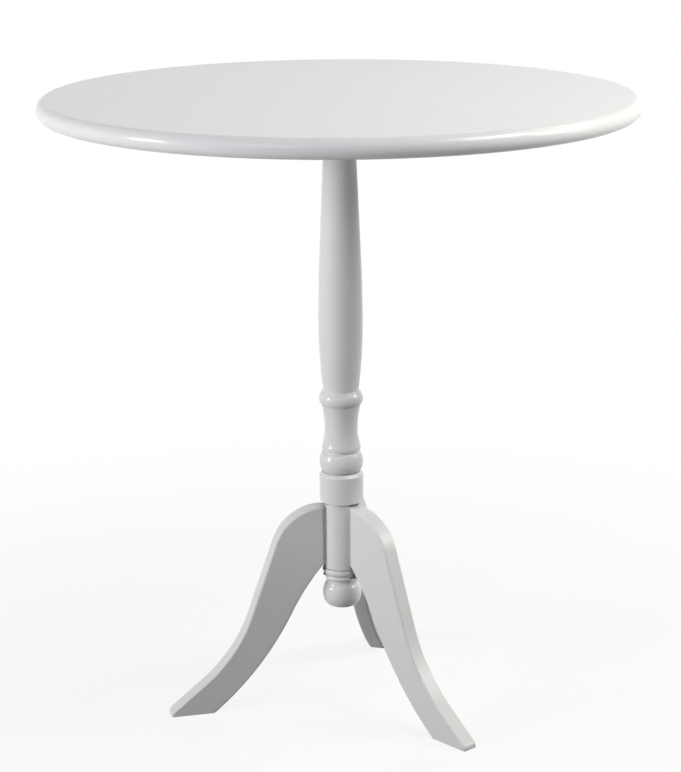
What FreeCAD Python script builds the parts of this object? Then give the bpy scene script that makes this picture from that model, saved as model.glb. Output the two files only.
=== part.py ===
import FreeCAD, Part
import math
import os
import Sketcher
from FreeCAD import Placement, Rotation, Vector

# A round wine table: a nosed top on a turned column, whose hub carries three dovetailed sabre legs.
# The origin is on the floor under the column, +Z is up, and every turned piece spins about Z.
# Driving dimensions in millimetres, apart from the sizes whose names end in angle, in degrees.
SIZES = {
    # Shared fits
    "fit_clearance": 0.1,
    "overrun": 5.0,
    # Table top: a board whose edge is turned to a nosing
    "table_height": 540.0,
    "top_radius": 250.0,
    "top_thickness": 16.0,
    "nosing_inset": 6.5,
    # Bearer block under the top, and the screws that hold it
    "bearer_radius": 75.0,
    "bearer_thickness": 18.0,
    "bearer_ease": 4.0,
    "screw_circle_radius": 56.0,
    "screw_radius": 2.0,
    "screw_head_radius": 4.0,
    "screw_head_depth": 2.4,
    "screw_length": 27.0,
    # Tee nut in the top of the block, and the studs at both ends of the column
    "tee_flange_radius": 10.0,
    "tee_flange_thickness": 1.6,
    "tee_barrel_radius": 5.2,
    "tee_barrel_length": 10.0,
    "stud_radius": 4.0,
    "stud_grip": 40.0,
    "stud_end_gap": 2.0,
    "base_stud_reach": 22.0,
    # Column, from the collar on the hub up to the spigot in the block
    "hub_top": 186.0,
    "collar_radius": 19.05,
    "collar_height": 23.6,
    "collar_chamfer_width": 2.1,
    "collar_chamfer_height": 2.8,
    "quirk_radius": 15.4,
    "low_quirk_width": 1.2,
    "low_bead_foot_radius": 16.9,
    "low_bead_radius": 19.0,
    "low_bead_head_radius": 16.5,
    "low_bead_rise": 6.9,
    "low_bead_fall": 9.5,
    "high_quirk_width": 2.4,
    "cove_foot_radius": 16.8,
    "cove_foot_height": 2.6,
    "cove_waist_radius": 14.36,
    "cove_head_radius": 16.9,
    "cove_drop": 16.5,
    "cove_rise": 21.0,
    "high_bead_radius": 19.05,
    "high_bead_rise": 5.3,
    "high_bead_fall": 7.7,
    "vase_foot_radius": 15.4,
    "vase_belly_radius": 19.0,
    "vase_taper_radius": 18.0,
    "vase_rise": 60.5,
    "vase_fall": 49.0,
    "column_head_radius": 13.4,
    "spigot_radius": 10.0,
    "nut_gap": 1.4,
    # Leg hub: a drum with a neck under the collar and two rings at its foot
    "hub_length": 71.2,
    "drum_radius": 16.5,
    "hub_neck_depth": 1.6,
    "hub_neck_height": 2.0,
    "ring_proud": 0.7,
    "ring_edge_drop": 0.9,
    "ring_half_height": 2.6,
    "ring_quirk_depth": 1.3,
    "ring_quirk_width": 0.8,
    "foot_ring_radius": 16.6,
    "foot_ring_edge_drop": 0.8,
    "foot_ring_half_height": 1.85,
    "insert_radius": 6.0,
    "insert_length": 16.0,
    # Drop finial under the hub, and the screw that holds it
    "finial_length": 26.8,
    "finial_head_radius": 14.6,
    "finial_neck_radius": 13.8,
    "finial_neck_drop": 2.6,
    "ball_radius": 17.0,
    "ball_shoulder_radius": 15.4,
    "ball_shoulder_rise": 8.0,
    "ball_crown_height": 12.0,
    "ball_base_radius": 12.8,
    "ball_base_rise": 1.7,
    "finial_screw_radius": 3.0,
    "finial_screw_grip": 17.0,
    # Legs: one sawn board each, with a dovetail tongue on its upright edge
    "leg_turn_angle": 73.75,
    "leg_thickness": 15.0,
    "leg_edge": 2.0,
    "shoulder_ease": 0.6,
    "leg_top_gap": 3.3,
    "leg_clearance": 1.5,
    "hump_radius": 44.6,
    "ankle_radius": 134.0,
    "foot_angle": 50.8,
    "foot_length": 74.6,
    "toe_reach": 156.0,
    "toe_nose_radius": 5.0,
    "toe_nose_height": 1.0,
    "heel_reach": 117.0,
    "calf_radius": 264.0,
    "knee_reach": 47.0,
    "knee_height": 86.1,
    "root_rise": 13.8,
    "tongue_depth": 9.2,
    "tongue_neck": 4.5,
    "tongue_root": 5.6,
}

LEG_NAMES = ("leg_back", "leg_left", "leg_right")
SCREW_COUNT = 4
FULL_TURN = 360.0

# Heights and radii that several pieces share, as sums of the sizes above
TOP_UNDERSIDE = "table_height - top_thickness"
BEARER_UNDERSIDE = TOP_UNDERSIDE + " - bearer_thickness"
TEE_FLANGE_FOOT = TOP_UNDERSIDE + " - tee_flange_thickness"
TEE_FOOT = TEE_FLANGE_FOOT + " - tee_barrel_length"
SPIGOT_HEAD = TEE_FOOT + " - nut_gap"
TOP_STUD_FOOT = BEARER_UNDERSIDE + " - stud_grip"
HUB_FOOT = "hub_top - hub_length"
FINIAL_FOOT = HUB_FOOT + " - finial_length"
FINIAL_SCREW_FOOT = HUB_FOOT + " - finial_screw_grip"
FINIAL_SCREW_HEAD = HUB_FOOT + " + finial_screw_grip"
RING_RADIUS = "drum_radius + ring_proud"
LEG_TOP = "hub_top - leg_top_gap"
LEG_ROOT = HUB_FOOT + " + root_rise"
LEG_SHOULDER = RING_RADIUS + " + leg_clearance"
TONGUE_TIP = LEG_SHOULDER + " - tongue_depth"

# Ways in which an outline goes on from a corner: arcs that are upright or level at one of their ends
UPRIGHT = "upright at the start"
INTO_UPRIGHT = "upright at the end"
LEVEL = "level at the start"

doc = FreeCAD.newDocument("wine_table")
sheet = doc.addObject("Spreadsheet::Sheet", "Sizes")
for row, (alias, value) in enumerate(SIZES.items(), start=1):
    sheet.set(f"A{row}", alias)
    sheet.set(f"B{row}", str(value))
    sheet.setAlias(f"B{row}", alias)
doc.recompute()


def number(text):
    """Value of a sum of sizes, where a size may be halved, as in hub_top - top_thickness/2."""
    total = 0.0
    sign = 1.0
    for word in text.split():
        if word in "+-":
            sign = 1.0 if word == "+" else -1.0
        else:
            name, _, divisor = word.partition("/")
            total += sign * SIZES[name] / float(divisor or 1)
            sign = 1.0
    return total


def formula(text):
    """The same sum as an expression on the sheet."""
    return " ".join(word if word in "+-" else "Sizes." + word for word in text.split())


def origin_feature(body, role):
    return next(feature for feature in body.Origin.OriginFeatures if feature.Role == role)


def new_body(name):
    body = doc.addObject("PartDesign::Body", name)
    body.Label = name
    return body


def new_sketch(body, name, role):
    sketch = body.newObject("Sketcher::SketchObject", name)
    sketch.AttachmentSupport = [(origin_feature(body, role), "")]
    sketch.MapMode = "FlatFace"
    return sketch


def bind(sketch, constraint, text):
    index = sketch.addConstraint(constraint)
    sketch.setExpression(f"Constraints[{index}]", formula(text))


def pin(sketch, edge, end, across, up):
    """Hold one end of an edge at named distances from the sketch's origin."""
    for kind, axis, text in (("DistanceX", -2, across), ("DistanceY", -1, up)):
        if text == "0":
            sketch.addConstraint(Sketcher.Constraint("PointOnObject", edge, end, axis))
        elif text:
            bind(sketch, Sketcher.Constraint(kind, -1, 1, edge, end, number(text)), text)


def place(across, up):
    return Vector(*(0.0 if text == "0" else number(text) for text in (across, up)), 0.0)


def add_line(sketch, start, finish):
    """Draw a line, and return it with its own numbers for its two ends."""
    return sketch.addGeometry(Part.LineSegment(start, finish), False), 1, 2


def add_arc(sketch, start, finish, centre):
    """Draw the shorter arc about a centre; arcs run anticlockwise, so its ends may swap."""
    circle = Part.Circle(centre, Vector(0, 0, 1), (start - centre).Length)
    anticlockwise = (start - centre).cross(finish - centre).z > 0
    first, last = (start, finish) if anticlockwise else (finish, start)
    arc = Part.ArcOfCircle(circle, circle.parameter(first), circle.parameter(last))
    return (sketch.addGeometry(arc, False),) + ((1, 2) if anticlockwise else (2, 1))


def add_bend(sketch, start, finish, bend):
    """Draw the arc between two corners that is upright or level at one of them."""
    fixed, other = (finish, start) if bend == INTO_UPRIGHT else (start, finish)
    step = other - fixed
    if bend == LEVEL:
        centre = fixed + Vector(0, step.Length ** 2 / (2 * step.y), 0)
    else:
        centre = fixed + Vector(step.Length ** 2 / (2 * step.x), 0, 0)
    edge, first, last = add_arc(sketch, start, finish, centre)
    held = last if bend == INTO_UPRIGHT else first
    kind = "Vertical" if bend == LEVEL else "Horizontal"
    sketch.addConstraint(Sketcher.Constraint(kind, edge, 3, edge, held))
    return edge, first, last


def draw_outline(sketch, corners):
    """Draw a closed outline from corners of (across, up, bend) and hold every corner."""
    points = [place(across, up) for across, up, _ in corners]
    edges = []
    for index, (_, _, bend) in enumerate(corners):
        start, finish = points[index], points[(index + 1) % len(points)]
        edges.append(add_bend(sketch, start, finish, bend) if bend else add_line(sketch, start, finish))
    for index, (across, up, _) in enumerate(corners):
        before, here = edges[index - 1], edges[index]
        sketch.addConstraint(Sketcher.Constraint("Coincident", before[0], before[2], here[0], here[1]))
        pin(sketch, here[0], here[1], across, up)


def spin(body, kind, name, corners, axis="0"):
    """Revolve an outline about Z, or about an upright line at a named distance from it."""
    sketch = new_sketch(body, name + "_outline", "XZ_Plane")
    reference = "V_Axis"
    if axis != "0":
        line = Part.LineSegment(place(axis, "0"), place(axis, "table_height"))
        edge = sketch.addGeometry(line, True)
        pin(sketch, edge, 1, axis, "0")
        pin(sketch, edge, 2, axis, "table_height")
        reference = "Axis0"
    draw_outline(sketch, corners)
    feature = body.newObject("PartDesign::" + kind, name)
    feature.Profile = sketch
    feature.ReferenceAxis = (sketch, [reference])
    feature.Angle = FULL_TURN
    return feature


def turn(body, name, corners):
    return spin(body, "Revolution", name, corners)


def round_corners(radius, low, high):
    """Half outline of a plain cylinder about Z."""
    return [("0", low, None), (radius, low, None), (radius, high, None), ("0", high, None)]


def bore(body, name, radius, low, high):
    """Cut a round hole about Z between two heights."""
    return spin(body, "Groove", name, round_corners(radius, low, high))


def rod(name, radius, low, high):
    """A plain round rod about Z."""
    body = new_body(name)
    turn(body, name + "_turning", round_corners(radius, low, high))
    return body


def repeat(body, feature, name, count):
    """Repeat a feature evenly about Z."""
    pattern = body.newObject("PartDesign::PolarPattern", name)
    pattern.Originals = [feature]
    pattern.Axis = (origin_feature(body, "Z_Axis"), [""])
    pattern.Angle = FULL_TURN
    pattern.Occurrences = count
    body.Tip = pattern
    return pattern


def turn_about_z(body, text, steps):
    """Turn a piece to its leg's direction, as the sheet's angle plus whole steps between legs."""
    step_angle = FULL_TURN / len(LEG_NAMES) * steps
    body.Placement = Placement(Vector(0, 0, 0), Rotation(Vector(0, 0, 1), number(text) + step_angle))
    body.setExpression("Placement.Rotation.Angle", f"({formula(text)} + {step_angle}) * 1 deg")


def screw_corners(clearance):
    """Half outline of a countersunk screw that stands head down in the block."""
    axis = "screw_circle_radius"
    shank = axis + " + screw_radius" + clearance
    head = axis + " + screw_head_radius" + clearance
    neck = BEARER_UNDERSIDE + " + screw_head_depth"
    tip = BEARER_UNDERSIDE + " + screw_length" + clearance
    return [
        (axis, BEARER_UNDERSIDE, None),
        (head, BEARER_UNDERSIDE, None),
        (shank, neck, None),
        (shank, tip, None),
        (axis, tip, None),
    ]


def make_table_top():
    body = new_body("table_top")
    edge = "top_radius - nosing_inset"
    turn(body, "board", [
        ("0", TOP_UNDERSIDE, None),
        (edge, TOP_UNDERSIDE, INTO_UPRIGHT),
        ("top_radius", "table_height - top_thickness/2", UPRIGHT),
        (edge, "table_height", None),
        ("0", "table_height", None),
    ])
    pilot = spin(body, "Groove", "pilot", screw_corners(" + fit_clearance"), "screw_circle_radius")
    repeat(body, pilot, "pilots", SCREW_COUNT)
    return body


def make_bearer_block():
    body = new_body("bearer_block")
    turn(body, "block", [
        ("0", BEARER_UNDERSIDE, None),
        ("bearer_radius - bearer_ease", BEARER_UNDERSIDE, LEVEL),
        ("bearer_radius", BEARER_UNDERSIDE + " + bearer_ease", None),
        ("bearer_radius", TOP_UNDERSIDE, None),
        ("0", TOP_UNDERSIDE, None),
    ])
    bore(body, "nut_bore", "tee_barrel_radius + fit_clearance", BEARER_UNDERSIDE, TOP_UNDERSIDE)
    bore(body, "nut_recess", "tee_flange_radius + fit_clearance", TEE_FLANGE_FOOT, TOP_UNDERSIDE)
    bore(body, "spigot_socket", "spigot_radius + fit_clearance", BEARER_UNDERSIDE, SPIGOT_HEAD)
    hole = spin(body, "Groove", "screw_hole", screw_corners(" + fit_clearance"), "screw_circle_radius")
    repeat(body, hole, "screw_holes", SCREW_COUNT)
    return body


def make_bearer_screws():
    body = new_body("bearer_screws")
    screw = spin(body, "Revolution", "screw", screw_corners(""), "screw_circle_radius")
    repeat(body, screw, "screws", SCREW_COUNT)
    return body


def make_tee_nut():
    body = new_body("tee_nut")
    thread = "stud_radius + fit_clearance"
    turn(body, "nut", [
        (thread, TEE_FOOT, None),
        ("tee_barrel_radius", TEE_FOOT, None),
        ("tee_barrel_radius", TEE_FLANGE_FOOT, None),
        ("tee_flange_radius", TEE_FLANGE_FOOT, None),
        ("tee_flange_radius", TOP_UNDERSIDE, None),
        (thread, TOP_UNDERSIDE, None),
    ])
    return body


def make_column():
    body = new_body("column")
    collar = "hub_top + collar_height"
    chamfer = collar + " + collar_chamfer_height"
    bead_foot = chamfer + " + low_quirk_width"
    bead = bead_foot + " + low_bead_rise"
    bead_head = bead + " + low_bead_fall"
    cove_foot = bead_head + " + high_quirk_width"
    cove_edge = cove_foot + " + cove_foot_height"
    waist = cove_edge + " + cove_drop"
    cove_head = waist + " + cove_rise"
    high_bead = cove_head + " + high_bead_rise"
    vase_foot = high_bead + " + high_bead_fall"
    belly = vase_foot + " + vase_rise"
    taper = belly + " + vase_fall"
    turn(body, "turning", [
        ("0", "hub_top", None),
        ("collar_radius", "hub_top", None),
        ("collar_radius", collar, None),
        ("collar_radius - collar_chamfer_width", chamfer, None),
        ("quirk_radius", chamfer, None),
        ("quirk_radius", bead_foot, None),
        ("low_bead_foot_radius", bead_foot, INTO_UPRIGHT),
        ("low_bead_radius", bead, UPRIGHT),
        ("low_bead_head_radius", bead_head, None),
        ("quirk_radius", bead_head, None),
        ("quirk_radius", cove_foot, None),
        ("cove_foot_radius", cove_foot, None),
        ("cove_foot_radius", cove_edge, INTO_UPRIGHT),
        ("cove_waist_radius", waist, UPRIGHT),
        ("cove_head_radius", cove_head, INTO_UPRIGHT),
        ("high_bead_radius", high_bead, UPRIGHT),
        ("vase_foot_radius", vase_foot, INTO_UPRIGHT),
        ("vase_belly_radius", belly, UPRIGHT),
        ("vase_taper_radius", taper, None),
        ("column_head_radius", BEARER_UNDERSIDE, None),
        ("spigot_radius", BEARER_UNDERSIDE, None),
        ("spigot_radius", SPIGOT_HEAD, None),
        ("0", SPIGOT_HEAD, None),
    ])
    stud_hole = "stud_radius + fit_clearance"
    bore(body, "base_stud_hole", stud_hole, "hub_top", "hub_top + stud_grip")
    bore(body, "top_stud_hole", stud_hole, TOP_STUD_FOOT, SPIGOT_HEAD)
    return body


def make_leg_hub():
    body = new_body("leg_hub")
    foot_ring = HUB_FOOT + " + foot_ring_half_height"
    foot_ring_head = foot_ring + " + foot_ring_half_height"
    ring_foot = foot_ring_head + " + ring_quirk_width"
    ring = ring_foot + " + ring_half_height"
    ring_head = ring + " + ring_half_height"
    drum_foot = ring_head + " + ring_quirk_width"
    foot_ring_edge = "foot_ring_radius - foot_ring_edge_drop"
    ring_edge = RING_RADIUS + " - ring_edge_drop"
    quirk = "drum_radius - ring_quirk_depth"
    neck = "drum_radius - hub_neck_depth"
    neck_foot = "hub_top - hub_neck_height"
    turn(body, "turning", [
        ("0", HUB_FOOT, None),
        (foot_ring_edge, HUB_FOOT, INTO_UPRIGHT),
        ("foot_ring_radius", foot_ring, UPRIGHT),
        (foot_ring_edge, foot_ring_head, None),
        (quirk, foot_ring_head, None),
        (quirk, ring_foot, None),
        (ring_edge, ring_foot, INTO_UPRIGHT),
        (RING_RADIUS, ring, UPRIGHT),
        (ring_edge, ring_head, None),
        (quirk, ring_head, None),
        (quirk, drum_foot, None),
        ("drum_radius", drum_foot, None),
        ("drum_radius", neck_foot, None),
        (neck, neck_foot, None),
        (neck, "hub_top", None),
        ("0", "hub_top", None),
    ])
    insert_foot = "hub_top - insert_length"
    stud_foot = "hub_top - base_stud_reach - stud_end_gap"
    bore(body, "insert_hole", "insert_radius + fit_clearance", insert_foot, "hub_top")
    bore(body, "stud_hole", "stud_radius + fit_clearance", stud_foot, "hub_top")
    screw_hole_head = FINIAL_SCREW_HEAD + " + fit_clearance"
    bore(body, "finial_hole", "finial_screw_radius + fit_clearance", HUB_FOOT, screw_hole_head)
    outline = new_sketch(body, "housing_outline", "XY_Plane")
    draw_dovetail(outline, " + fit_clearance")
    housing = body.newObject("PartDesign::Pocket", "housing")
    housing.Profile = outline
    housing.Type = "ThroughAll"
    housing.SideType = "Symmetric"
    repeat(body, housing, "housings", len(LEG_NAMES))
    turn_about_z(body, "leg_turn_angle", 0)
    return body


def make_hub_insert():
    body = new_body("hub_insert")
    foot = "hub_top - insert_length"
    thread = "stud_radius + fit_clearance"
    turn(body, "insert", [
        (thread, foot, None),
        ("insert_radius", foot, None),
        ("insert_radius", "hub_top", None),
        (thread, "hub_top", None),
    ])
    return body


def make_drop_finial():
    body = new_body("drop_finial")
    neck = HUB_FOOT + " - finial_neck_drop"
    crown = FINIAL_FOOT + " + ball_crown_height"
    turn(body, "turning", [
        ("0", FINIAL_FOOT, LEVEL),
        ("ball_base_radius", FINIAL_FOOT + " + ball_base_rise", INTO_UPRIGHT),
        ("ball_radius", crown, UPRIGHT),
        ("ball_shoulder_radius", crown + " + ball_shoulder_rise", INTO_UPRIGHT),
        ("finial_neck_radius", neck, UPRIGHT),
        ("finial_head_radius", HUB_FOOT, None),
        ("0", HUB_FOOT, None),
    ])
    hole_foot = FINIAL_SCREW_FOOT + " - fit_clearance"
    bore(body, "screw_hole", "finial_screw_radius + fit_clearance", hole_foot, HUB_FOOT)
    return body


def draw_dovetail(sketch, clearance):
    """Plan of a leg's tongue, or with a clearance of its housing: widest at the tip."""
    tip = TONGUE_TIP + clearance.replace("+", "-")
    draw_outline(sketch, [
        (tip, "- tongue_root" + clearance.replace("+", "-"), None),
        (LEG_SHOULDER, "- tongue_neck" + clearance.replace("+", "-"), None),
        (LEG_SHOULDER, "tongue_neck" + clearance, None),
        (tip, "tongue_root" + clearance, None),
    ])


def draw_leg(sketch):
    """Side outline of a leg: hump, shin, ankle and foot outside, calf and thigh inside."""
    foot_angle = math.radians(SIZES["foot_angle"])
    foot_side = Vector(math.cos(foot_angle), math.sin(foot_angle), 0)
    foot_way = Vector(foot_side.y, -foot_side.x, 0)

    # The foot's line runs up from the toe to the corner where it meets the line of the shin
    nose_centre = place("toe_reach - toe_nose_radius", "toe_nose_height")
    nose_start = nose_centre + foot_side * SIZES["toe_nose_radius"]
    nose_end = place("toe_reach", "toe_nose_height")
    toe = place("toe_reach", "0")
    corner = nose_start - foot_way * SIZES["foot_length"]

    # The shin rises from that corner to touch the hump, and the ankle rounds the corner off
    head = place(LEG_SHOULDER, LEG_TOP)
    hump_centre = head - Vector(0, SIZES["hump_radius"], 0)
    drop = corner - hump_centre
    shin_angle = math.atan2(drop.x, -drop.y) - math.asin(SIZES["hump_radius"] / drop.Length)
    shin_side = Vector(math.cos(shin_angle), math.sin(shin_angle), 0)
    shin_way = Vector(shin_side.y, -shin_side.x, 0)
    hump_end = hump_centre + shin_side * SIZES["hump_radius"]
    ankle_cut = SIZES["ankle_radius"] * math.tan((foot_angle - shin_angle) / 2)
    ankle_start = corner - shin_way * ankle_cut
    ankle_end = corner + foot_way * ankle_cut
    ankle_centre = ankle_start + shin_side * SIZES["ankle_radius"]

    # The inner edge is two arcs that flow into each other at the knee
    heel = place("heel_reach", "0")
    knee = place("knee_reach", "knee_height")
    root = place(LEG_SHOULDER, LEG_ROOT)
    chord = knee - heel
    chord_side = Vector(chord.y, -chord.x, 0).normalize()
    sagitta_side = math.sqrt(SIZES["calf_radius"] ** 2 - (chord.Length / 2) ** 2)
    calf_centre = (knee + heel) / 2 + chord_side * sagitta_side
    inward = (knee - calf_centre).normalize()
    thigh_centre = knee + inward * ((root - knee).Length ** 2 / (2 * (root - knee).dot(inward)))

    hump = add_arc(sketch, head, hump_end, hump_centre)
    shin = add_line(sketch, ankle_start, hump_end)
    ankle = add_arc(sketch, ankle_start, ankle_end, ankle_centre)
    foot = add_line(sketch, nose_start, ankle_end)
    nose = add_arc(sketch, nose_start, nose_end, nose_centre)
    toe_face = add_line(sketch, nose_end, toe)
    sole = add_line(sketch, toe, heel)
    calf = add_arc(sketch, heel, knee, calf_centre)
    thigh = add_arc(sketch, knee, root, thigh_centre)
    shoulder = add_line(sketch, root, head)
    ankle_corner = sketch.addGeometry(Part.Point(corner), True)

    smooth_joints = (
        (hump[0], hump[2], shin[0], shin[2]),
        (shin[0], shin[1], ankle[0], ankle[1]),
        (ankle[0], ankle[2], foot[0], foot[2]),
        (foot[0], foot[1], nose[0], nose[1]),
        (nose[0], nose[2], toe_face[0], toe_face[1]),
        (calf[0], calf[2], thigh[0], thigh[1]),
    )
    corner_joints = (
        (toe_face[0], toe_face[2], sole[0], sole[1]),
        (sole[0], sole[2], calf[0], calf[1]),
        (thigh[0], thigh[2], shoulder[0], shoulder[1]),
        (shoulder[0], shoulder[2], hump[0], hump[1]),
    )
    for joint in smooth_joints:
        sketch.addConstraint(Sketcher.Constraint("Tangent", *joint))
    for joint in corner_joints:
        sketch.addConstraint(Sketcher.Constraint("Coincident", *joint))
    sketch.addConstraint(Sketcher.Constraint("Vertical", hump[0], 3, hump[0], hump[1]))
    sketch.addConstraint(Sketcher.Constraint("Vertical", toe_face[0]))
    sketch.addConstraint(Sketcher.Constraint("Vertical", shoulder[0]))
    for arc, text in ((hump, "hump_radius"), (ankle, "ankle_radius"),
                      (nose, "toe_nose_radius"), (calf, "calf_radius")):
        bind(sketch, Sketcher.Constraint("Radius", arc[0], SIZES[text]), text)
    for line in (shin, foot):
        sketch.addConstraint(Sketcher.Constraint("PointOnObject", ankle_corner, 1, line[0]))
    bind(sketch, Sketcher.Constraint("Angle", -2, 1, foot[0], foot[1], foot_angle), "foot_angle")
    foot_distance = Sketcher.Constraint("Distance", foot[0], foot[1], ankle_corner, 1, SIZES["foot_length"])
    bind(sketch, foot_distance, "foot_length")
    pin(sketch, hump[0], hump[1], LEG_SHOULDER, LEG_TOP)
    pin(sketch, nose[0], nose[2], None, "toe_nose_height")
    pin(sketch, toe_face[0], toe_face[2], "toe_reach", "0")
    pin(sketch, calf[0], calf[1], "heel_reach", "0")
    pin(sketch, thigh[0], thigh[1], "knee_reach", "knee_height")
    pin(sketch, shoulder[0], shoulder[1], None, LEG_ROOT)


def make_leg(name, steps):
    body = new_body(name)
    side = new_sketch(body, "side_outline", "XZ_Plane")
    draw_leg(side)
    board = body.newObject("PartDesign::Pad", "board")
    board.Profile = side
    board.SideType = "Symmetric"
    board.setExpression("Length", formula("leg_thickness"))
    doc.recompute()

    # The edges of both faces are rounded, apart from those of the flat sole and the upright shoulder
    half = number("leg_thickness/2")
    shoulder = number(LEG_SHOULDER)
    eased = []
    for index, edge in enumerate(board.Shape.Edges, start=1):
        middle = edge.CenterOfMass
        in_face = all(math.isclose(abs(point.y), half) for point in (middle, edge.firstVertex().Point))
        on_sole = math.isclose(middle.z, 0.0, abs_tol=SIZES["fit_clearance"])
        on_shoulder = math.isclose(middle.x, shoulder)
        if in_face and not on_sole and not on_shoulder:
            eased.append(f"Edge{index}")
    easing = body.newObject("PartDesign::Fillet", "easing")
    easing.Base = (board, eased)
    easing.setExpression("Radius", formula("leg_edge"))

    # The two corners of the shoulder are chamfered down their whole length
    corners = new_sketch(body, "shoulder_corners", "XY_Plane")
    outside = LEG_SHOULDER + " - overrun"
    for side_sign, other_sign in ((" + ", " - "), (" - ", " + ")):
        face = side_sign + "leg_thickness/2"
        draw_outline(corners, [
            (outside, face + other_sign + "shoulder_ease" + other_sign + "overrun", None),
            (LEG_SHOULDER + " + shoulder_ease + overrun", face + side_sign + "overrun", None),
            (outside, face + side_sign + "overrun", None),
        ])
    chamfer = body.newObject("PartDesign::Pocket", "shoulder_chamfer")
    chamfer.Profile = corners
    chamfer.Type = "ThroughAll"
    chamfer.SideType = "Symmetric"

    plan = new_sketch(body, "tongue_outline", "XY_Plane")
    plan.setExpression("AttachmentOffset.Base.z", formula(LEG_ROOT))
    draw_dovetail(plan, "")
    tongue = body.newObject("PartDesign::Pad", "tongue")
    tongue.Profile = plan
    tongue.setExpression("Length", formula("hub_length - leg_top_gap - root_rise"))
    body.Tip = tongue
    turn_about_z(body, "leg_turn_angle", steps)
    return body


pieces = [
    make_table_top(),
    make_bearer_block(),
    make_bearer_screws(),
    make_tee_nut(),
    rod("top_stud", "stud_radius", TOP_STUD_FOOT, TOP_UNDERSIDE + " - stud_end_gap"),
    make_column(),
    rod("base_stud", "stud_radius", "hub_top - base_stud_reach", "hub_top + stud_grip"),
    make_hub_insert(),
    make_leg_hub(),
    make_drop_finial(),
    rod("finial_screw", "finial_screw_radius", FINIAL_SCREW_FOOT, FINIAL_SCREW_HEAD),
]
pieces += [make_leg(name, steps) for steps, name in enumerate(LEG_NAMES)]
doc.recompute()

for item in doc.Objects:
    if {"Invalid", "Error"} & set(item.State):
        raise RuntimeError(f"{item.Label} did not build: {item.State}")
for piece in pieces:
    if piece.Shape.isNull() or not piece.Shape.isValid():
        raise RuntimeError(f"{piece.Label} has no valid solid")

os.makedirs("parts", exist_ok=True)
for piece in pieces:
    piece.Shape.exportStep(f"parts/{piece.Label}.step")
    print(piece.Label, len(piece.Shape.Solids), "solid", round(piece.Shape.Volume), "cubic mm")
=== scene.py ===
import math
import bmesh
import bpy
from mathutils import Matrix, Vector


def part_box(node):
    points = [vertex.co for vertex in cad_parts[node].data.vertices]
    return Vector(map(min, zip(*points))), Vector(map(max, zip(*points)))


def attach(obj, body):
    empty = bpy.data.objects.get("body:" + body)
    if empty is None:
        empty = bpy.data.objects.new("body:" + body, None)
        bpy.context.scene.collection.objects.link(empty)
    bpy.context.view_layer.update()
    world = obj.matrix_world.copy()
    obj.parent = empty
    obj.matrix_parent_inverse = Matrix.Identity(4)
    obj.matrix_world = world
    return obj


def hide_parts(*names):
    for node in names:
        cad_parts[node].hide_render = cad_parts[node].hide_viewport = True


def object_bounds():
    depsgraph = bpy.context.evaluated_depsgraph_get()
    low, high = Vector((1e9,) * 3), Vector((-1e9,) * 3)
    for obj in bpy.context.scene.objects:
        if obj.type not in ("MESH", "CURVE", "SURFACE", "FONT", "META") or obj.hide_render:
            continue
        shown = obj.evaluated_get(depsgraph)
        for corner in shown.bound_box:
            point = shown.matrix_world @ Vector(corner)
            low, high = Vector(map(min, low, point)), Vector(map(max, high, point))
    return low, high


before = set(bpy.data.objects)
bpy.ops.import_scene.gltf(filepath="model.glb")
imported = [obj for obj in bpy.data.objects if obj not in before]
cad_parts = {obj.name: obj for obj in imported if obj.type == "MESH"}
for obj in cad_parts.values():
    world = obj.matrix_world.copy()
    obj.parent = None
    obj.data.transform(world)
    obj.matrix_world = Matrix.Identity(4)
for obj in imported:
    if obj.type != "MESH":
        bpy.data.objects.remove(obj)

scene = bpy.context.scene
scene.view_settings.view_transform = "Standard"
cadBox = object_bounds()  # the CAD box, before anything is dressed
mm = 0.001
fullWhite = (1, 1, 1, 1)
print("frame loaded,", len(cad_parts), "nodes")


# node helpers

def addNode(tree, kind, sockets=None, **traits):
    node = tree.nodes.new(kind)
    for trait, value in traits.items():
        setattr(node, trait, value)
    for socket, value in (sockets or {}).items():
        if isinstance(value, bpy.types.NodeSocket):
            tree.links.new(value, node.inputs[socket])
        else:
            node.inputs[socket].default_value = value
    return node


def addNoise(tree, coords, size, detail, roughness=0.5):
    noise = addNode(tree, "ShaderNodeTexNoise", {
        "Vector": coords, "Scale": 1 / size, "Detail": detail, "Roughness": roughness,
    })
    return noise.outputs["Fac"]


def addRange(tree, value, fromEnds, toEnds, **traits):
    # spreads what lies between fromEnds over toEnds
    spread = addNode(tree, "ShaderNodeMapRange", {
        "Value": value, "From Min": fromEnds[0], "From Max": fromEnds[1],
        "To Min": toEnds[0], "To Max": toEnds[1],
    }, **traits)
    return spread.outputs["Result"]


def addBump(tree, height, depth, under=None):
    # under is the normal of a bump that this one lies on
    sockets = {"Height": height, "Distance": depth}
    if under is not None:
        sockets["Normal"] = under
    return addNode(tree, "ShaderNodeBump", sockets).outputs["Normal"]


def addMath(tree, operation, first, second):
    return addNode(tree, "ShaderNodeMath", {0: first, 1: second}, operation=operation).outputs["Value"]


def mixColours(tree, share, first, second):
    mixed = addNode(tree, "ShaderNodeMixRGB", {"Fac": share, "Color1": first, "Color2": second})
    return mixed.outputs["Color"]


def mixShaders(tree, share, first, second):
    return addNode(tree, "ShaderNodeMixShader", {0: share, 1: first, 2: second}).outputs["Shader"]


def newMaterial(name):
    material = bpy.data.materials.new(name)
    material.use_nodes = True
    material.node_tree.nodes.clear()
    return material, material.node_tree


# mesh helpers

turning = {
    "leastSteps": 8,  # points in even the smallest bend
    "onAxis": 0.0001 * mm,  # a radius below this lies on the axis
    "easeSegments": 3,
}


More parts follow.
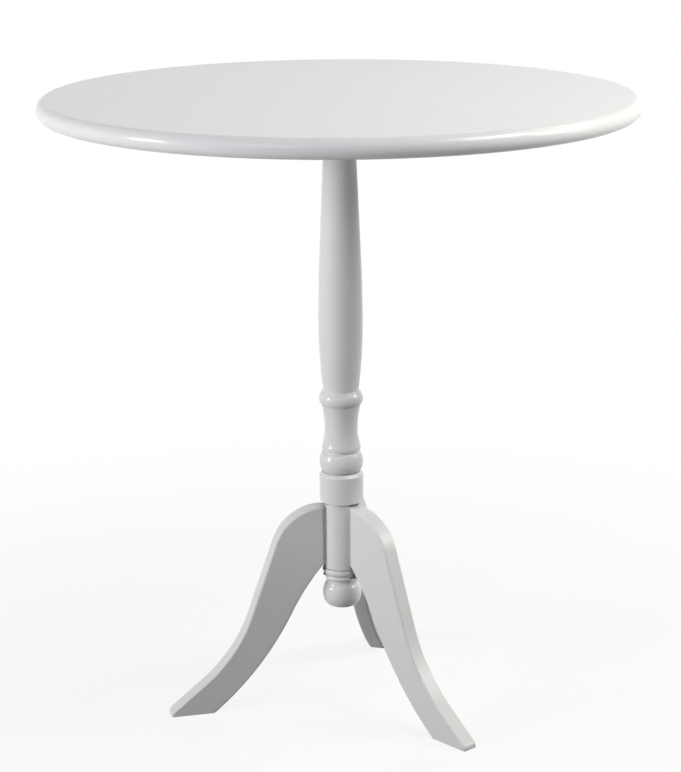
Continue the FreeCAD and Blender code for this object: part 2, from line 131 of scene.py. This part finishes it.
def bendPoints(start, finish, bend, step):
    # arc between two corners that is upright or level at one of them
    fixed, other = (finish, start) if bend == "intoUpright" else (start, finish)
    across = other - fixed
    if bend == "fromLevel":
        centre = fixed + Vector((0, across.length_squared / (2 * across.y)))
    else:
        centre = fixed + Vector((across.length_squared / (2 * across.x), 0))
    spokeIn, spokeOut = start - centre, finish - centre
    sweep = math.atan2(spokeIn.cross(spokeOut), spokeIn.dot(spokeOut))
    count = max(turning["leastSteps"], math.ceil(abs(sweep) * spokeIn.length / step))
    points = []
    for k in range(count):
        angle = sweep * k / count
        points.append(centre + Matrix.Rotation(angle, 2) @ spokeIn)
    return points


def turnedOutline(corners, step):
    # corners are (radius, height, bend to the next corner), all in metres
    outline = []
    for k, (radius, height, bend) in enumerate(corners):
        here = Vector((radius, height))
        if bend:
            outline += bendPoints(here, Vector(corners[k + 1][:2]), bend, step)
        else:
            outline.append(here)
    return outline


def placeShape(name, shape):
    # makes an object of a finished bmesh
    mesh = bpy.data.meshes.new(name)
    shape.to_mesh(mesh)
    shape.free()
    placed = bpy.data.objects.new(name, mesh)
    scene.collection.objects.link(placed)
    return placed


def turnedMesh(name, outline, around):
    # spins an outline that starts and ends on the axis
    shape = bmesh.new()
    rings = []
    for radius, height in outline:
        if radius < turning["onAxis"]:
            rings.append([shape.verts.new((0, 0, height))])
            continue
        ring = []
        for k in range(around):
            angle = math.tau * k / around
            ring.append(shape.verts.new((radius * math.cos(angle), radius * math.sin(angle), height)))
        rings.append(ring)
    for lower, upper in zip(rings, rings[1:]):
        for k in range(around):
            corners = [lower[k % len(lower)], lower[(k + 1) % len(lower)],
                       upper[(k + 1) % len(upper)], upper[k % len(upper)]]
            shape.faces.new(list(dict.fromkeys(corners)))  # three corners where a ring is one point
    bmesh.ops.recalc_face_normals(shape, faces=shape.faces)
    piece = placeShape(name, shape)
    piece.data.shade_smooth()
    return piece


def softenEdges(piece, width, sharpAngle):
    # the rounding that paint and sandpaper leave on a turned edge
    bevel = piece.modifiers.new("softEdge", "BEVEL")
    bevel.width = width
    bevel.segments = turning["easeSegments"]
    bevel.limit_method = "ANGLE"
    bevel.angle_limit = math.radians(sharpAngle)
    bevel.use_clamp_overlap = False
    normals = piece.modifiers.new("flatFaces", "WEIGHTED_NORMAL")
    normals.keep_sharp = True


def dressPiece(piece, node, material):
    piece.data.materials.append(material)
    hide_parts(node)
    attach(piece, "root")


# satin white paint, sprayed over wood

paintFinish = {
    "white": (0.84, 0.84, 0.835, 1),
    "thinWhite": (0.80, 0.795, 0.785, 1),  # where the coat is a little thinner
    "ior": 1.5,
    "patchSize": 0.12,  # slow change of tone
    "patchDetail": 3.0,
    "patchSpread": (0.35, 0.75),
    "patchThin": 0.25,
    "boardGloss": (0.17, 0.19),  # roughness, from the glossiest patch to the dullest
    "turnedGloss": (0.195, 0.215),
    "sawnGloss": (0.33, 0.38),
    "sheenSize": 0.035,
    "sheenDetail": 2.0,
    "sheenSpread": (0.3, 0.7),
    "peelSize": 2.4 * mm,  # ripple that spraying leaves
    "peelDetail": 1.5,
    "peelDepth": 0.008 * mm,
    "grainWidth": 1.3 * mm,  # grain that shows through the coat
    "grainDetail": 3.0,
    "grainRoughness": 0.6,
    "grainStretch": 26.0,
    "grainDepth": 0.014 * mm,
    "edgeReach": 0.9 * mm,
    "edgeSamples": 4,
    "edgeAgree": (0.99, 0.8),  # how well the two normals agree, from plain surface to full edge
    "edgeThin": 0.5,
    "creviceShade": (0.30, 0.30, 0.31, 1),  # painted shade in quirks and joints, where little light reaches
    "creviceShadeReach": 2.0 * mm,
    "creviceShadeSamples": 8,
    "creviceShadeOpen": (0.62, 0.12),  # how open a hollow is, from no painted shade to the full painted shade
}


def paintMaterial(name, shine, grain=None):
    # grain is a turn that brings the wood's length onto Z, or None for a board with no grain
    look = paintFinish
    material, tree = newMaterial(name)
    coords = addNode(tree, "ShaderNodeTexCoord").outputs["Object"]
    patches = addNoise(tree, coords, look["patchSize"], look["patchDetail"])
    sheen = addNoise(tree, coords, look["sheenSize"], look["sheenDetail"])
    peel = addNoise(tree, coords, look["peelSize"], look["peelDetail"])

    # edges, where the coat is thin: the softened normal leaves the true one
    surface = addNode(tree, "ShaderNodeNewGeometry").outputs["Normal"]
    softened = addNode(tree, "ShaderNodeBevel", {"Radius": look["edgeReach"]}, samples=look["edgeSamples"])
    agree = addNode(tree, "ShaderNodeVectorMath", {0: surface, 1: softened.outputs["Normal"]},
                    operation="DOT_PRODUCT")
    edge = addRange(tree, agree.outputs["Value"], look["edgeAgree"], (0, look["edgeThin"]))
    uneven = addRange(tree, patches, look["patchSpread"], (0, look["patchThin"]))
    ramp = addNode(tree, "ShaderNodeValToRGB", {"Fac": addMath(tree, "MAXIMUM", edge, uneven)})
    ramp.color_ramp.elements[0].color = look["white"]
    ramp.color_ramp.elements[1].color = look["thinWhite"]

    # painted shade, darker where little open space is left round a point
    hollow = addNode(tree, "ShaderNodeAmbientOcclusion", {"Distance": look["creviceShadeReach"]},
                     samples=look["creviceShadeSamples"])
    shadeShare = addRange(tree, hollow.outputs["AO"], look["creviceShadeOpen"], (0, 1))
    coat = mixColours(tree, shadeShare, ramp.outputs["Color"], look["creviceShade"])

    gloss = addRange(tree, sheen, look["sheenSpread"], look[shine])
    normal = addBump(tree, peel, look["peelDepth"])
    if grain is not None:
        wood = addNode(tree, "ShaderNodeMapping", {
            "Vector": coords, "Rotation": grain, "Scale": (1, 1, look["grainStretch"]),
        }, vector_type="TEXTURE")
        fibre = addNoise(tree, wood.outputs["Vector"], look["grainWidth"], look["grainDetail"],
                         look["grainRoughness"])
        normal = addBump(tree, fibre, look["grainDepth"], normal)
    paint = addNode(tree, "ShaderNodeBsdfPrincipled", {
        "Base Color": coat, "Roughness": gloss, "Normal": normal, "IOR": look["ior"],
    })
    addNode(tree, "ShaderNodeOutputMaterial", {"Surface": paint.outputs["BSDF"]})
    return material


boardPaint = paintMaterial("boardPaint", "boardGloss")
turnedPaint = paintMaterial("turnedPaint", "turnedGloss", (0, 0, 0))
print("paint mixed")


# table top, a board with a nosed edge

tableTop = {
    "around": 288,
    "step": 0.8 * mm,
    "inset": 6.5 * mm,  # from the rim to where the nosing starts
    "innerRing": 0.985,  # a ring just inside the nosing keeps the flat's shading level
    "ease": 0.5 * mm,
    "sharpAngle": 9,
}
low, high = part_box("table_top")
rim = (high.x - low.x) / 2
flat = rim - tableTop["inset"]
topOutline = turnedOutline([
    (0, low.z, None),
    (flat * tableTop["innerRing"], low.z, None),
    (flat, low.z, "intoUpright"),
    (rim, (low.z + high.z) / 2, "fromUpright"),
    (flat, high.z, None),
    (flat * tableTop["innerRing"], high.z, None),
    (0, high.z, None),
], tableTop["step"])
topBoard = turnedMesh("tableTop", topOutline, tableTop["around"])
softenEdges(topBoard, tableTop["ease"], tableTop["sharpAngle"])
dressPiece(topBoard, "table_top", boardPaint)
print("table top turned")


# turned column, with radii and heights in millimetres

column = {
    "around": 160,
    "step": 1.1 * mm,
    "ease": 0.45 * mm,
    "sharpAngle": 24,
    "studHole": 4.1,
    "studGrip": 40.0,
    "collar": 19.05,
    "collarHeight": 23.6,
    "chamferWidth": 2.1,
    "chamferHeight": 2.8,
    "quirk": 15.4,
    "lowQuirk": 1.2,
    "highQuirk": 2.4,
    "lowBead": (16.9, 19.0, 16.5),  # at its foot, its middle and its head
    "lowBeadRise": 6.9,
    "lowBeadFall": 9.5,
    "coveFoot": 16.8,
    "coveFootHeight": 2.6,
    "coveWaist": 14.36,
    "coveHead": 16.9,
    "coveDrop": 16.5,
    "coveRise": 21.0,
    "highBead": 19.05,
    "highBeadRise": 5.3,
    "highBeadFall": 7.7,
    "vaseFoot": 15.4,
    "vaseBelly": 19.0,
    "vaseTaper": 18.0,
    "vaseRise": 60.5,
    "vaseFall": 49.0,
    "head": 13.4,
    "spigot": 10.0,
}


def columnCorners(spec):
    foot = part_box("column")[0].z / mm
    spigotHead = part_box("column")[1].z / mm
    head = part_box("bearer_block")[0].z / mm
    beadFoot, bead, beadHead = spec["lowBead"]
    corners = [
        (0, foot + spec["studGrip"], None),
        (spec["studHole"], foot + spec["studGrip"], None),
        (spec["studHole"], foot, None),
        (spec["collar"], foot, None),
    ]
    height = foot
    # each turn is (rise from the one below, radius, bend to the next)
    for rise, radius, bend in (
        (spec["collarHeight"], spec["collar"], None),
        (spec["chamferHeight"], spec["collar"] - spec["chamferWidth"], None),
        (0, spec["quirk"], None),
        (spec["lowQuirk"], spec["quirk"], None),
        (0, beadFoot, "intoUpright"),
        (spec["lowBeadRise"], bead, "fromUpright"),
        (spec["lowBeadFall"], beadHead, None),
        (0, spec["quirk"], None),
        (spec["highQuirk"], spec["quirk"], None),
        (0, spec["coveFoot"], None),
        (spec["coveFootHeight"], spec["coveFoot"], "intoUpright"),
        (spec["coveDrop"], spec["coveWaist"], "fromUpright"),
        (spec["coveRise"], spec["coveHead"], "intoUpright"),
        (spec["highBeadRise"], spec["highBead"], "fromUpright"),
        (spec["highBeadFall"], spec["vaseFoot"], "intoUpright"),
        (spec["vaseRise"], spec["vaseBelly"], "fromUpright"),
        (spec["vaseFall"], spec["vaseTaper"], None),
    ):
        height += rise
        corners.append((radius, height, bend))
    corners += [
        (spec["head"], head, None),
        (spec["spigot"], head, None),
        (spec["spigot"], spigotHead, None),
        (spec["studHole"], spigotHead, None),
        (spec["studHole"], head - spec["studGrip"], None),
        (0, head - spec["studGrip"], None),
    ]
    return [(radius * mm, height * mm, bend) for radius, height, bend in corners]


columnOutline = turnedOutline(columnCorners(column), column["step"])
baluster = turnedMesh("turnedColumn", columnOutline, column["around"])
softenEdges(baluster, column["ease"], column["sharpAngle"])
dressPiece(baluster, "column", turnedPaint)
print("column turned")


# ball drop under the hub, with radii and heights in millimetres

ballDrop = {
    "around": 128,
    "step": 0.9 * mm,
    "ease": 0.4 * mm,
    "sharpAngle": 24,
    "base": 12.8,
    "baseRise": 1.7,
    "ball": 17.0,
    "crownHeight": 12.0,
    "shoulder": 15.4,
    "shoulderRise": 8.0,
    "neck": 13.8,
    "neckDrop": 2.6,
    "head": 14.6,
    "screwHole": 3.1,
    "screwDepth": 17.1,
}


def dropCorners(spec):
    low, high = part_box("drop_finial")
    foot, head = low.z / mm, high.z / mm
    crown = foot + spec["crownHeight"]
    corners = [
        (0, foot, "fromLevel"),
        (spec["base"], foot + spec["baseRise"], "intoUpright"),
        (spec["ball"], crown, "fromUpright"),
        (spec["shoulder"], crown + spec["shoulderRise"], "intoUpright"),
        (spec["neck"], head - spec["neckDrop"], "fromUpright"),
        (spec["head"], head, None),
        (spec["screwHole"], head, None),
        (spec["screwHole"], head - spec["screwDepth"], None),
        (0, head - spec["screwDepth"], None),
    ]
    return [(radius * mm, height * mm, bend) for radius, height, bend in corners]


dropOutline = turnedOutline(dropCorners(ballDrop), ballDrop["step"])
finial = turnedMesh("ballDrop", dropOutline, ballDrop["around"])
softenEdges(finial, ballDrop["ease"], ballDrop["sharpAngle"])
dressPiece(finial, "drop_finial", turnedPaint)
print("ball drop turned")


# legs, hub and block keep their CAD shape and take the paint

legBoard = {"lean": math.radians(42)}  # how far the board's grain leans out from upright
for node in ("leg_left", "leg_right", "leg_back"):
    low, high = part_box(node)
    heading = math.atan2(low.y + high.y, low.x + high.x)
    grainTurn = (0, math.pi - legBoard["lean"], heading)
    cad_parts[node].material_slots[0].material = paintMaterial(node + "Paint", "sawnGloss", grainTurn)
for node in ("leg_hub", "bearer_block"):
    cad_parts[node].material_slots[0].material = turnedPaint
print("legs, hub and block painted")


# zinc plated hardware, out of sight but for the heads of the block's screws

zincFinish = {
    "bright": (0.62, 0.63, 0.65, 1),
    "dull": (0.47, 0.47, 0.46, 1),
    "patchSize": 3.0 * mm,
    "patchDetail": 4.0,
    "gloss": (0.42, 0.24),  # roughness, from the dull patches to the bright ones
}


def zincMaterial(name):
    look = zincFinish
    material, tree = newMaterial(name)
    coords = addNode(tree, "ShaderNodeTexCoord").outputs["Object"]
    bloom = addNoise(tree, coords, look["patchSize"], look["patchDetail"])
    ramp = addNode(tree, "ShaderNodeValToRGB", {"Fac": bloom})
    ramp.color_ramp.elements[0].color = look["dull"]
    ramp.color_ramp.elements[1].color = look["bright"]
    metal = addNode(tree, "ShaderNodeBsdfPrincipled", {
        "Base Color": ramp.outputs["Color"], "Metallic": 1,
        "Roughness": addRange(tree, bloom, (0, 1), look["gloss"]),
    })
    addNode(tree, "ShaderNodeOutputMaterial", {"Surface": metal.outputs["BSDF"]})
    return material


zinc = zincMaterial("zincPlate")
for node in ("tee_nut", "top_stud", "base_stud", "hub_insert", "finial_screw"):
    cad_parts[node].material_slots[0].material = zinc
print("hardware plated")


# countersunk screws of the block, each with a cross recess

blockScrew = {
    "circle": 56.0 * mm,
    "turns": (12, 57, 31, 78),  # where the recess of each screw came to rest
    "around": 48,
    "head": 4.0 * mm,
    "headDepth": 2.4 * mm,
    "faceInset": 0.12 * mm,  # the head's edge is broken, not sharp
    "lipInset": 0.04 * mm,
    "lipRise": 0.06 * mm,
    "shank": 2.0 * mm,
    "length": 27.0 * mm,
    "slotReach": (2.5 * mm, 1.1 * mm),  # at the face, at the foot
    "slotWidth": (1.3 * mm, 0.7 * mm),
    "slotDepth": 1.8 * mm,
    "overrun": 0.3 * mm,
    "weld": 0.001 * mm,
    "sharpAngle": 24,
}


def slotCutter(spec, turn):
    # a bar that narrows towards the foot of the recess
    shape = bmesh.new()
    bmesh.ops.create_cube(shape, size=2)  # corners at plus and minus one
    for vert in shape.verts:
        level = 1 if vert.co.z > 0 else 0
        vert.co.x *= spec["slotReach"][level]
        vert.co.y *= spec["slotWidth"][level] / 2
        vert.co.z = spec["slotDepth"] if level else -spec["overrun"]
    bmesh.ops.rotate(shape, verts=shape.verts, matrix=Matrix.Rotation(turn, 3, "Z"))
    return placeShape("slotCutter", shape)


def screwMesh(spec):
    screw = turnedMesh("screwBlank", [
        (0, 0),
        (spec["head"] - spec["faceInset"], 0),
        (spec["head"] - spec["lipInset"], spec["lipRise"]),
        (spec["shank"], spec["headDepth"]),
        (spec["shank"], spec["length"]),
        (0, spec["length"]),
    ], spec["around"])
    cutters = [slotCutter(spec, turn) for turn in (0, math.pi / 2)]
    for cutter in cutters:
        cut = screw.modifiers.new("slot", "BOOLEAN")
        cut.object = cutter
        cut.solver = "EXACT"
    mesh = bpy.data.meshes.new_from_object(screw.evaluated_get(bpy.context.evaluated_depsgraph_get()))
    for spare in [screw] + cutters:
        bpy.data.objects.remove(spare)
    return mesh


def driveScrews(spec):
    one = screwMesh(spec)
    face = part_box("bearer_screws")[0].z
    shape = bmesh.new()
    for k, turn in enumerate(spec["turns"]):
        roundBlock = Matrix.Rotation(math.tau * k / len(spec["turns"]), 4, "Z")
        out = Matrix.Translation((spec["circle"], 0, face))
        placed = one.copy()
        placed.transform(roundBlock @ out @ Matrix.Rotation(math.radians(turn), 4, "Z"))
        shape.from_mesh(placed)
        bpy.data.meshes.remove(placed)
    bmesh.ops.remove_doubles(shape, verts=shape.verts, dist=spec["weld"])
    screws = placeShape("blockScrews", shape)
    screws.data.shade_smooth()
    screws.data.set_sharp_from_angle(angle=math.radians(spec["sharpAngle"]))
    return screws


dressPiece(driveScrews(blockScrew), "bearer_screws", zinc)
print("screws driven")


# floor that fades to white away from the table

studioFloor = {
    "radius": 16.0,
    "sides": 96,
    "pale": (0.95, 0.95, 0.95, 1),
    # near the table the bounce colour is dark, painted shade of the top on the floor beneath it
    "nearBounce": (0.07, 0.07, 0.07, 1),  # the light it throws back up
    "farBounce": (0.6, 0.6, 0.6, 1),
    "bounceReach": (0.25, 1.2),
    "glow": 0.84,  # how far the shadows are lifted near the table
    "shadowReach": (0.2, 0.9),
}


def seenDirectly(tree):
    # one for what the camera sees, also in gloss or through glass
    path = addNode(tree, "ShaderNodeLightPath").outputs
    mirrored = addMath(tree, "MAXIMUM", path["Is Glossy Ray"], path["Is Transmission Ray"])
    return addMath(tree, "MAXIMUM", path["Is Camera Ray"], mirrored)


def makeFloor(spec):
    shape = bmesh.new()
    bmesh.ops.create_circle(shape, cap_ends=True, segments=spec["sides"], radius=spec["radius"])
    floor = placeShape("studioFloor", shape)
    floor.location.z = cadBox[0].z
    material, tree = newMaterial("paleFloor")
    coords = addNode(tree, "ShaderNodeTexCoord").outputs["Object"]
    reach = addNode(tree, "ShaderNodeVectorMath", {0: coords}, operation="LENGTH").outputs["Value"]
    clear = addRange(tree, reach, spec["shadowReach"], (spec["glow"], 1), interpolation_type="SMOOTHSTEP")
    bounce = addRange(tree, reach, spec["bounceReach"], (0, 1), interpolation_type="SMOOTHSTEP")
    seen = seenDirectly(tree)
    # bounce colour, with the painted shade near the table
    thrown = mixColours(tree, bounce, spec["nearBounce"], spec["farBounce"])
    matt = addNode(tree, "ShaderNodeBsdfDiffuse", {"Color": mixColours(tree, seen, thrown, spec["pale"])})
    glow = addNode(tree, "ShaderNodeEmission", {"Color": fullWhite, "Strength": 1})
    lifted = mixShaders(tree, addMath(tree, "MULTIPLY", clear, seen),
                        matt.outputs["BSDF"], glow.outputs["Emission"])
    addNode(tree, "ShaderNodeOutputMaterial", {"Surface": lifted})
    floor.data.materials.append(material)


makeFloor(studioFloor)
print("floor laid")


# soft studio light

studioAir = {"tint": (0.95, 0.97, 1.0, 1), "level": 0.012}

# round is in degrees from the photographed side, towards the right
# level 1 lights a surface that faces the lamp to full white
# a lamp that isn't mirrored lights the paint and stays out of its gloss
lampRig = [
    {"name": "leftBox", "round": -54, "up": 15, "away": 2.4, "size": (1.0, 0.9),
     "level": 0.40, "tint": (0.92, 0.91, 1.0), "mirrored": False},
    {"name": "leftGlint", "round": -71, "up": 12, "away": 2.4, "size": (0.46, 0.5),
     "level": 0.28, "tint": (1.0, 1.0, 0.9)},
    {"name": "frontBox", "round": -25, "up": 30, "away": 2.4, "size": (0.8, 0.7),
     "level": 0.075, "tint": (0.76, 0.88, 1.0)},
    {"name": "cornerBox", "round": 64, "up": 49, "away": 1.4, "size": (0.55, 0.45),
     "level": 0.31, "tint": (0.98, 0.99, 0.96)},
    {"name": "rimBox", "round": 58, "up": 34, "away": 0.70, "size": (0.4, 0.3),
     "level": 0.06, "tint": (1.0, 1.0, 1.0), "mirrored": False, "onlyOn": topBoard},
    {"name": "rightBox", "round": 90, "up": 28, "away": 2.4, "size": (0.8, 0.7),
     "level": 0.31, "tint": (1.0, 0.98, 0.95)},
    {"name": "rightStrip", "round": 94, "up": 13, "away": 2.4, "size": (0.32, 1.2),
     "level": 0.05, "tint": (1.0, 1.0, 0.94)},
    {"name": "backBox", "round": 108, "up": 45, "away": 1.6, "size": (0.8, 0.7),
     "level": 0.11, "tint": (1.0, 0.98, 0.87)},
    {"name": "rearBox", "round": 165, "up": 16, "away": 2.4, "size": (0.9, 0.7),
     "level": 0.26, "tint": (1.0, 0.99, 0.95), "mirrored": False},
]


def lightWorld(air):
    world = bpy.data.worlds.new("studioAir")
    scene.world = world
    world.use_nodes = True
    tree = world.node_tree
    tree.nodes.clear()
    dim = addNode(tree, "ShaderNodeBackground", {"Color": air["tint"], "Strength": air["level"]})
    white = addNode(tree, "ShaderNodeBackground", {"Color": fullWhite, "Strength": 1})
    sky = mixShaders(tree, seenDirectly(tree), dim.outputs["Background"], white.outputs["Background"])
    addNode(tree, "ShaderNodeOutputWorld", {"Surface": sky})


def hangLamp(spec, aim):
    turn, rise = math.radians(spec["round"]), math.radians(spec["up"])
    way = Vector((math.sin(turn) * math.cos(rise), -math.cos(turn) * math.cos(rise), math.sin(rise)))
    light = bpy.data.lights.new(spec["name"], "AREA")
    light.shape = "RECTANGLE"
    light.size, light.size_y = spec["size"]
    light.energy = spec["level"] * (math.pi * spec["away"]) ** 2
    light.color = spec["tint"]
    lamp = bpy.data.objects.new(spec["name"], light)
    scene.collection.objects.link(lamp)
    lamp.location = aim + way * spec["away"]
    lamp.rotation_mode = "QUATERNION"
    lamp.rotation_quaternion = (-way).to_track_quat("-Z", "Y")
    lamp.visible_camera = False
    lamp.visible_glossy = spec.get("mirrored", True)
    if "onlyOn" in spec:
        lit = bpy.data.collections.new(spec["name"] + "Lit")
        lit.objects.link(spec["onlyOn"])
        lamp.light_linking.receiver_collection = lit


lightWorld(studioAir)
tableMiddle = (cadBox[0] + cadBox[1]) / 2
for lampSpec in lampRig:
    hangLamp(lampSpec, tableMiddle)
print("studio lit")


# camera where the photograph was taken from

photoCamera = {
    "eye": (-0.0004, -1.7586, 0.7715),
    "tilt": 74.636,
    "roll": -0.35,
    "lens": 98.8,
}
cameraData = bpy.data.cameras.new("photoCamera")
cameraData.lens = photoCamera["lens"]
camera = bpy.data.objects.new("photoCamera", cameraData)
scene.collection.objects.link(camera)
camera.location = photoCamera["eye"]
camera.rotation_mode = "ZYX"
camera.rotation_euler = (math.radians(photoCamera["tilt"]), 0, math.radians(photoCamera["roll"]))
scene.camera = camera
print("camera placed")
